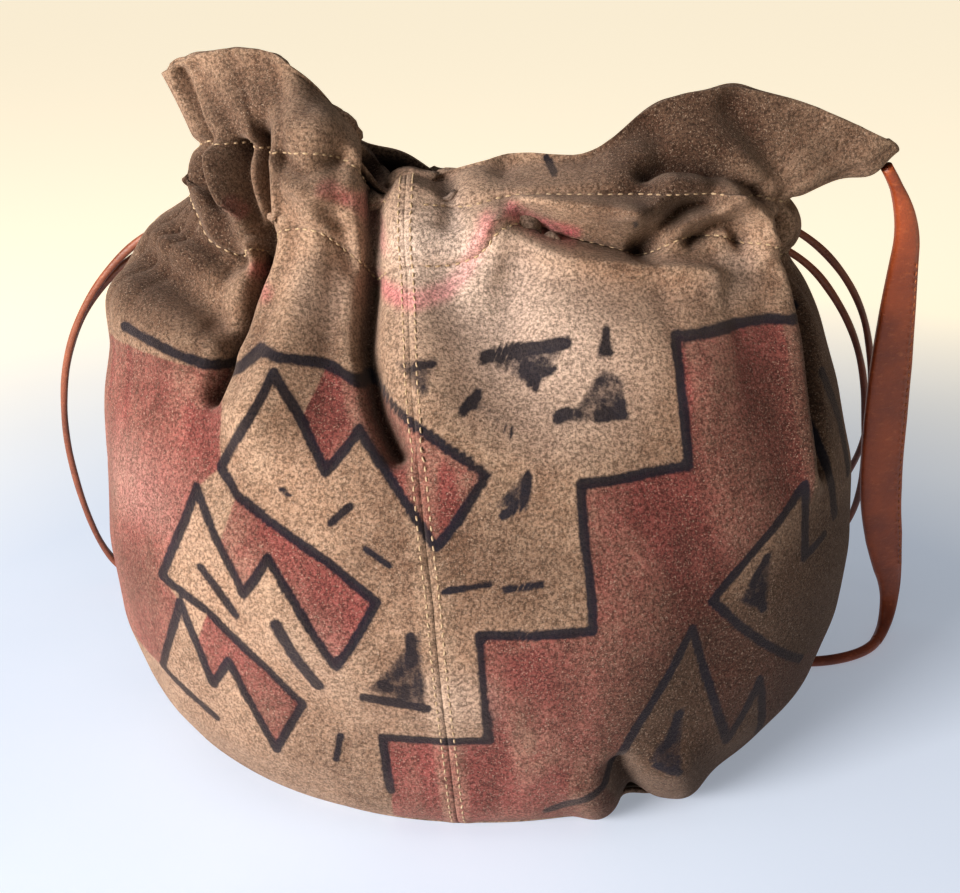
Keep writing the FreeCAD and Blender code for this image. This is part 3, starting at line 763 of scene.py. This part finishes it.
PAINTED = suede("painted_suede", True)
PLAIN = suede("plain_suede", False)
STRAP_LEATHER = leather("tan_strap_leather", srgb(126, 58, 30), srgb(172, 86, 46), srgb(206, 122, 74), 0.12)
LACE_LEATHER = leather("lace_leather", srgb(96, 50, 32), srgb(146, 84, 56), srgb(178, 116, 84), 0.08)
THREAD = thread_material("cream_waxed_thread", srgb(138, 112, 84), srgb(196, 172, 140))
STRAP_THREAD = thread_material("tan_waxed_thread", srgb(150, 84, 50), srgb(196, 126, 84))
WEAVE = cloth_material()

# ------------------------------------------------------------------ suede pieces


def skin_piece(name, rows, columns, nodes, material, thickness, inset=0.0,
               inside=False):
    """One cut piece of the shell, given its thickness inwards; an inside piece spans its creases."""
    row_index = np.arange(rows[0], rows[1] + 1)
    column_index = np.arange(columns[0], columns[1] + 1) % COLUMNS
    closed = columns[1] - columns[0] == COLUMNS
    if closed:
        column_index = column_index[:-1]
    pick = np.ix_(row_index, column_index)
    points = INNER_POINTS if inside else POINTS
    normals = INNER_NORMALS if inside else NORMALS
    outer = points[pick] - normals[pick] * inset
    piece = mesh_object(name, outer.reshape(-1, 3), grid_faces(len(row_index), len(column_index), closed))
    add_attribute(piece, "ink", INK[pick])
    add_attribute(piece, "dye", DYE[pick])
    add_attribute(piece, "stain", STAIN[pick])
    add_attribute(piece, "ridge", RIDGE[pick])
    add_attribute(piece, "painted_crease_shade", PAINTED_CREASE_SHADE[pick])
    add_attribute(piece, "painted_light", PAINTED_LIGHT[pick])
    solid = piece.modifiers.new("thickness", "SOLIDIFY")
    solid.thickness = thickness
    solid.offset = -1.0
    solid.use_even_offset = False
    piece.data.materials.append(material)
    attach(piece, "bag")
    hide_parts(*nodes)
    return piece


def build_skin():
    sides = (("left", 0, MIDDLE), ("right", MIDDLE, COLUMNS))
    for side, first, last in sides:
        skin_piece("body_panel_" + side + "_suede", (0, ROW_LOWER), (first, last), ["body_panel_" + side],
                   PAINTED, SUEDE)
        skin_piece("collar_" + side + "_suede", (ROW_LOWER, ROW_RIM), (first, last), ["collar_" + side],
                   PAINTED, SUEDE)
    whole = (0, COLUMNS)
    skin_piece("collar_facing_suede", (ROW_UPPER, ROW_RIM), whole, ["collar_facing"], PLAIN,
               1.2 * MM, inset=SUEDE)
    skin_piece("casing_strip_suede", (ROW_LOWER, ROW_UPPER), whole, ["casing_strip"], PLAIN,
               1.2 * MM, inset=6.8 * MM, inside=True)
    skin_piece("lining_wall_cloth", (1, ROW_LOWER), whole, ["lining_wall"], WEAVE, 0.8 * MM,
               inset=2.2 * MM, inside=True)


def disc_piece(name, height, inset, node, material, thickness):
    """A panel across the bottom, fitted to the foot of the walls."""
    rim = POINTS[1] - NORMALS[1] * inset
    rings = 24
    vertices = []
    for ring in range(1, rings + 1):
        share = ring / rings
        for point in rim:
            vertices.append((point[0] * share, point[1] * share, height))
    centre = len(vertices)
    vertices.append((0.0, 0.0, height))
    faces = grid_faces(rings, COLUMNS, True)
    faces += [(centre, (column + 1) % COLUMNS, column) for column in range(COLUMNS)]
    piece = mesh_object(name, vertices, faces)
    for attribute in ("ink", "dye", "stain", "ridge", "painted_crease_shade", "painted_light"):
        add_attribute(piece, attribute, np.zeros(len(vertices)))
    solid = piece.modifiers.new("thickness", "SOLIDIFY")
    solid.thickness = thickness
    solid.offset = 0.0
    piece.data.materials.append(material)
    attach(piece, "bag")
    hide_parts(node)
    return piece


build_skin()
disc_piece("base_panel_suede", 1.3 * MM, 1.0 * MM, "base_panel", PLAIN, 1.8 * MM)
disc_piece("lining_base_cloth", 2.8 * MM, 3.0 * MM, "lining_base", WEAVE, 0.8 * MM)

# ------------------------------------------------------------------ stitches


def stitch_mesh(name, places, directions, normals, length, radius, nodes, body="bag", thread=THREAD):
    """Short, rounded stitches sunk a little into the leather."""
    vertices = []
    faces = []
    sides = 8
    profile = [(-0.5, 0.25, -0.7), (-0.38, 0.8, -0.1), (-0.15, 1.0, 0.25), (0.15, 1.0, 0.25), (0.38, 0.8, -0.1),
               (0.5, 0.25, -0.7)]
    for place, direction, normal in zip(places, directions, normals):
        direction = direction / np.linalg.norm(direction)
        across = np.cross(direction, normal)
        across = across / np.linalg.norm(across)
        upright = np.cross(across, direction)
        turn = 0.12 * RNG.normal()
        direction = direction + across * turn
        start = len(vertices)
        for along, share, lift in profile:
            middle = place + direction * along * length + upright * lift * radius
            for side in range(sides):
                angle = 2.0 * math.pi * side / sides
                vertices.append(middle + (across * math.cos(angle) + upright * math.sin(angle) * 0.8)
                                * radius * share)
        for ring in range(len(profile) - 1):
            for side in range(sides):
                after = (side + 1) % sides
                faces.append((start + ring * sides + side, start + ring * sides + after,
                              start + (ring + 1) * sides + after, start + (ring + 1) * sides + side))
        faces.append(tuple(start + side for side in reversed(range(sides))))
        faces.append(tuple(start + (len(profile) - 1) * sides + side for side in range(sides)))
    piece = mesh_object(name, vertices, faces)
    piece.data.materials.append(thread)
    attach(piece, body)
    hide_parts(*nodes)
    return piece


def spaced(line, normals, pitch):
    """Places at an even pitch along a line on the shell."""
    steps = np.linalg.norm(np.diff(line, axis=0), axis=1)
    run = np.concatenate([[0.0], np.cumsum(steps)])
    wanted = np.arange(pitch / 2, run[-1], pitch)
    place = np.stack([np.interp(wanted, run, line[:, k]) for k in range(3)], axis=1)
    normal = np.stack([np.interp(wanted, run, normals[:, k]) for k in range(3)], axis=1)
    ahead = np.stack([np.interp(wanted + pitch * 0.3, run, line[:, k]) for k in range(3)], axis=1)
    behind = np.stack([np.interp(wanted - pitch * 0.3, run, line[:, k]) for k in range(3)], axis=1)
    return place, ahead - behind, normal


def seam_rows():
    pitch = 3.6 * MM
    for face, column in (("front", MIDDLE), ("back", 0)):
        for side, sign in (("left", -1), ("right", 1)):
            base = POINTS[2:ROW_RIM, column]
            across = POINTS[2:ROW_RIM, (column + 2) % COLUMNS] - POINTS[2:ROW_RIM, (column - 2) % COLUMNS]
            across = across / np.linalg.norm(across, axis=1, keepdims=True)
            line = base + across * sign * 2.5 * MM
            place, direction, normal = spaced(line, NORMALS[2:ROW_RIM, column], pitch)
            stitch_mesh(face + "_seam_stitches_" + side, place, direction, normal, 2.3 * MM, 0.4 * MM,
                        [face + "_seam_thread_" + side])


def casing_rows():
    for level, row in (("lower", ROW_LOWER), ("upper", ROW_UPPER)):
        for side, first, last in (("left", 4, MIDDLE - 4), ("right", MIDDLE + 4, COLUMNS - 4)):
            line = POINTS[row, first:last]
            place, direction, normal = spaced(line, NORMALS[row, first:last], 4.0 * MM)
            stitch_mesh("casing_stitches_" + level + "_" + side, place, direction, normal, 2.5 * MM,
                        0.42 * MM, ["casing_thread_" + level + "_" + side])


seam_rows()
casing_rows()

# ------------------------------------------------------------------ cords

CHANNEL_Y = 37.5
LEVEL_HIGH = 222.5
LEVEL_LOW = 213.5
LACE_D = 3.5 * MM
STRAP_D = 5.0 * MM
RIGHT_TAIL_A = [
    (14.0, CHANNEL_Y, LEVEL_HIGH), (64.0, CHANNEL_Y, LEVEL_HIGH + 0.3), (112.0, CHANNEL_Y, LEVEL_HIGH),
    (149.0, 45.0, 209.0), (178.0, 56.0, 177.0), (191.0, 67.0, 138.0), (197.0, 84.0, 98.0),
    (194.0, 103.0, 65.0), (182.0, 120.0, 35.0), (164.0, 131.0, 13.0), (142.0, 133.0, 5.0),
    (116.0, 129.0, 5.0),
]
RIGHT_TAIL_B = [
    (14.0, CHANNEL_Y, LEVEL_LOW), (62.0, CHANNEL_Y, LEVEL_LOW + 0.3), (108.0, CHANNEL_Y, LEVEL_LOW),
    (145.0, 40.0, 201.0), (169.0, 46.0, 172.0), (183.0, 56.0, 142.0), (191.0, 70.0, 108.0),
    (198.0, 86.0, 72.0), (198.0, 100.0, 42.0), (186.0, 111.0, 16.0), (165.0, 118.0, 4.0),
    (138.0, 121.0, 4.0), (116.0, 124.0, 5.0),
]
LEFT_TAIL_A = [
    (-14.0, CHANNEL_Y, LEVEL_HIGH), (-64.0, CHANNEL_Y, LEVEL_HIGH + 0.3), (-112.0, CHANNEL_Y, LEVEL_HIGH),
    (-150.0, 45.0, 211.0), (-180.0, 53.0, 182.0), (-199.0, 62.0, 147.0), (-208.0, 74.0, 106.0),
    (-209.0, 88.0, 66.0), (-205.0, 100.0, 30.0), (-196.0, 106.0, 9.0), (-171.0, 99.0, 3.0),
    (-144.0, 86.0, 5.0),
]
LEFT_TAIL_B = [
    (-14.0, CHANNEL_Y, LEVEL_LOW), (-62.0, CHANNEL_Y, LEVEL_LOW + 0.3), (-108.0, CHANNEL_Y, LEVEL_LOW),
    (-150.0, 50.0, 204.0), (-181.0, 58.0, 179.0), (-200.5, 66.5, 145.0), (-209.5, 78.5, 104.0),
    (-210.5, 92.5, 64.0), (-206.5, 104.5, 28.0), (-197.0, 110.5, 9.0), (-172.0, 103.5, 3.0),
    (-144.0, 92.0, 5.0),
]
RIGHT_KNOT = (113.0, 126.5, 5.0)
LEFT_KNOT = (-141.0, 89.0, 5.0)
STRAP_POINTS = [
    (166.5, 0.0, 246.0), (182.0, 10.0, 226.0), (185.5, 24.0, 188.0), (189.0, 35.0, 134.0),
    (194.0, 46.0, 82.0), (204.0, 56.0, 44.0), (212.0, 65.0, 20.0), (207.0, 53.0, 2.6), (192.0, 29.0, 2.6),
    (161.0, 18.0, 2.6), (127.0, 27.0, 2.6), (112.0, 60.0, 2.6), (102.0, 98.0, 2.6),
    (70.0, 130.0, 2.6), (24.0, 158.0, 2.6), (-28.0, 166.0, 2.6), (-74.0, 158.0, 5.0),
    (-97.0, 136.0, 30.0), (-97.0, 121.0, 76.0), (-95.0, 116.0, 122.0), (-93.0, 92.0, 165.0),
    (-92.0, 68.0, 205.0), (-91.0, 59.0, 244.0), (-90.0, 35.4, 262.0),
]


def route_curve(name, points):
    curve = bpy.data.curves.new(name, "CURVE")
    curve.dimensions = "3D"
    spline = curve.splines.new("NURBS")
    spline.points.add(len(points) - 1)
    for target, point in zip(spline.points, points):
        target.co = (point[0] * MM, point[1] * MM, point[2] * MM, 1.0)
    spline.order_u = 3
    spline.use_endpoint_u = True
    spline.resolution_u = 16
    return curve


def route_line(points):
    """The smooth line that the route's spline follows."""
    curve = route_curve("route", points)
    carrier = bpy.data.objects.new("route", curve)
    bpy.context.scene.collection.objects.link(carrier)
    bpy.context.view_layer.update()
    mesh = bpy.data.meshes.new_from_object(carrier)
    line = np.array([v.co[:] for v in mesh.vertices])
    bpy.data.objects.remove(carrier)
    bpy.data.meshes.remove(mesh)
    bpy.data.curves.remove(curve)
    return line


def sweep(name, line, outline_at, material, facing=(0.0, -1.0, 0.0)):
    """A tube along a line; outline_at(share) gives its cross-section as (side, front) pairs."""
    count = len(line)
    steps = np.concatenate([[0.0], np.cumsum(np.linalg.norm(np.diff(line, axis=0), axis=1))])
    tangents = np.gradient(line, axis=0)
    tangents = tangents / np.linalg.norm(tangents, axis=1, keepdims=True)
    front = np.array(facing)
    vertices = []
    for index in range(count):
        tangent = tangents[index]
        front = front - tangent * np.dot(front, tangent)
        front = front / np.linalg.norm(front)
        side = np.cross(front, tangent)
        for across, forward in outline_at(steps[index] / steps[-1], steps[index]):
            vertices.append(line[index] + side * across + front * forward)
    around = len(vertices) // count
    faces = grid_faces(count, around, True)
    faces.append(tuple(reversed(range(around))))
    faces.append(tuple((count - 1) * around + k for k in range(around)))
    piece = mesh_object(name, vertices, faces)
    add_attribute(piece, "ridge", np.zeros(len(vertices)))
    piece.data.materials.append(material)
    return piece


def lace_outline(share, run):
    """A narrow strip of leather folded on itself, with a groove along one side."""
    around = []
    for step in range(16):
        angle = 2.0 * math.pi * step / 16
        radius = LACE_D / 2
        groove = math.exp(-((step - 12) / 0.9) ** 2) * 0.42
        wander = 1.0 + 0.05 * math.sin(run / 0.011) + 0.03 * math.sin(run / 0.0047 + 1.0)
        around.append((radius * math.cos(angle) * wander, radius * 0.82 * math.sin(angle) * (1.0 - groove)))
    return around


def knot_piece(node, centre, size, thickness, body, material):
    """An overhand knot pulled tight: one cord wound through itself."""
    line = []
    for step in range(72):
        turn = 2.0 * math.pi * step / 71
        ring = 2.0 + math.cos(3.0 * turn)
        line.append((size * ring * math.cos(2.0 * turn) / 3.0, size * ring * math.sin(2.0 * turn) / 3.0,
                     size * math.sin(3.0 * turn) / 2.2))
    line = np.array(line) + np.array(centre) * MM
    outline = [(thickness / 2 * math.cos(2 * math.pi * k / 12), thickness / 2 * math.sin(2 * math.pi * k / 12))
               for k in range(12)]
    piece = sweep(node + "_leather", line, lambda share, run: outline, material, facing=(0.3, -0.5, 0.8))
    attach(piece, body)
    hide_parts(node)
    return piece


def lace(name, points, node, body):
    line = route_line(points)
    piece = sweep(name, line, lace_outline, LACE_LEATHER)
    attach(piece, body)
    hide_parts(node)
    return piece, line


def build_laces():
    for side, tails, centre in (("right", (RIGHT_TAIL_A, RIGHT_TAIL_B), RIGHT_KNOT),
                                ("left", (LEFT_TAIL_A, LEFT_TAIL_B), LEFT_KNOT)):
        body = side + "_lace_ends"
        knot = knot_piece("drawstring_" + side + "_knot", centre, 4.2 * MM, 3.2 * MM, body,
                          LACE_LEATHER)
        for letter, points, tied in zip("ab", tails, ([knot], [])):
            name = "drawstring_" + side + "_tail_" + letter
            piece, line = lace(name + "_leather", points, name, body)


def hidden_run(side, share):
    """The lace's run round the neck, inside the stitched channel."""
    row = int(ROW_LOWER + share * CASING_ROWS)
    columns = np.arange(24, COLUMNS - 24, 4)
    line = INNER_POINTS[row, columns] - INNER_NORMALS[row, columns] * 4.2 * MM
    piece = sweep("drawstring_" + side + "_run_leather", line, lace_outline, LACE_LEATHER)
    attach(piece, "bag")
    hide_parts("drawstring_" + side + "_run")


build_laces()
hidden_run("right", 0.62)
hidden_run("left", 0.38)


def strap_outline(share, run):
    return [(STRAP_D / 2 * math.cos(2 * math.pi * k / 16), STRAP_D / 2 * math.sin(2 * math.pi * k / 16))
            for k in range(16)]


# Along the strap from the collar (m): half width of the folded part (mm)
PAD_WIDTHS = [(0.0, 2.3), (0.012, 2.6), (0.026, 4.2), (0.045, 6.0), (0.075, 8.4), (0.105, 10.2), (0.135, 10.8),
              (0.175, 10.6), (0.205, 9.4), (0.225, 7.4), (0.245, 4.6), (0.262, 2.9), (0.275, 2.5)]


def pad_outline(share, run):
    """Folded strip: rounded fold on one side, stitched open edge with a raised rim on the other."""
    half = np.interp(run, [p[0] for p in PAD_WIDTHS], [p[1] for p in PAD_WIDTHS]) * MM
    thick = min(2.9 * MM, half)
    around = []
    for step in range(28):
        angle = 2.0 * math.pi * step / 28
        across = math.cos(angle)
        lift = math.sin(angle)
        flat = np.sign(lift) * abs(lift) ** 0.6
        welt = 1.0
        if half > 5.0 * MM and across > 0.62:
            welt = 1.0 - 0.28 * math.exp(-((across - 0.74) / 0.07) ** 2)
        cross_crease = 1.0 - 0.05 * math.exp(-((run - 0.118) / 0.003) ** 2)
        around.append((half * np.sign(across) * abs(across) ** 0.85, thick * flat * welt * cross_crease))
    return around


def build_strap():
    line = route_line(STRAP_POINTS)
    cord_piece = sweep("strap_cord_leather", line, strap_outline, STRAP_LEATHER)
    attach(cord_piece, "strap")
    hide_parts("strap_cord")
    run = np.concatenate([[0.0], np.cumsum(np.linalg.norm(np.diff(line, axis=0), axis=1))])
    upto = int(np.searchsorted(run, PAD_WIDTHS[-1][0]))
    pad_line = line[:upto]
    pad = sweep("strap_pad_leather", pad_line, pad_outline, STRAP_LEATHER)
    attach(pad, "strap")
    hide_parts("strap_pad")
    inner = line[(run > 0.05) & (run < 0.225)]
    halves = np.interp(run[(run > 0.05) & (run < 0.225)], [p[0] for p in PAD_WIDTHS],
                       [p[1] for p in PAD_WIDTHS]) * MM
    normals = np.tile(np.array([0.0, -0.93, 0.30]), (len(inner), 1))
    edge = inner + np.stack([halves * 0.78, 0.0 * halves, 0.0 * halves], axis=1) + normals * 2.1 * MM
    place, direction, normal = spaced(edge, normals, 4.0 * MM)
    stitches = stitch_mesh("strap_pad_stitches", place, direction, normal, 2.4 * MM, 0.4 * MM,
                           ["strap_pad_thread"], body="strap", thread=STRAP_THREAD)


build_strap()
knot_piece("strap_knot_right", (157.0, 0.0, 246.0), 3.4 * MM, 3.6 * MM, "bag", STRAP_LEATHER)
knot_piece("strap_knot_left", (-90.0, 22.0, 262.0), 3.8 * MM, 3.8 * MM, "bag", STRAP_LEATHER)

# ------------------------------------------------------------------ stage, light and camera


FLOOR_HALF = 12.0
# Between these distances from the bag the table top turns from cool to warm, and its painted glow grows stronger
FLOOR_NEAR = 0.3
FLOOR_FAR = 0.8


def build_stage():
    half = FLOOR_HALF
    corners = [(-half, -half, 0), (half, -half, 0), (half, half, 0), (-half, half, 0)]
    floor = mesh_object("table_top", corners, [(0, 1, 2, 3)], False)
    floor.data.materials.append(floor_material())


def area_light(name, place, target, size, power, colour):
    light = bpy.data.lights.new(name, "AREA")
    light.shape = "RECTANGLE"
    light.size = size[0]
    light.size_y = size[1]
    light.energy = power
    light.color = colour
    lamp = bpy.data.objects.new(name, light)
    lamp.location = place
    lamp.rotation_euler = (Vector(target) - Vector(place)).to_track_quat("-Z", "Y").to_euler()
    bpy.context.scene.collection.objects.link(lamp)


def build_lights():
    area_light("window", (-1.25, -1.20, 0.58), (0.0, 0.0, 0.14), (0.8, 0.6), 50.0, (1.0, 0.97, 0.96))
    area_light("top", (-0.3, -0.4, 1.4), (0.0, 0.0, 0.0), (1.0, 0.8), 2.0, (1.0, 0.98, 0.95))
    world = bpy.data.worlds.new("studio")
    world.use_nodes = True
    world.node_tree.nodes["Background"].inputs["Color"].default_value = (0.92, 0.95, 1.0, 1.0)
    world.node_tree.nodes["Background"].inputs["Strength"].default_value = 0.13
    bpy.context.scene.world = world


def build_camera():
    camera = bpy.data.cameras.new("camera")
    camera.lens = 50.0
    camera.sensor_width = 36.0
    camera.clip_start = 0.01
    viewer = bpy.data.objects.new("camera", camera)
    viewer.location = (0.0, -0.551, 0.3347)
    viewer.rotation_euler = (math.radians(90.0 - 21.0), 0.0, 0.0)
    bpy.context.scene.collection.objects.link(viewer)
    bpy.context.scene.camera = viewer


build_stage()
build_lights()
build_camera()
bpy.context.scene.view_settings.view_transform = "Standard"
bpy.context.scene.view_settings.look = "Medium High Contrast"
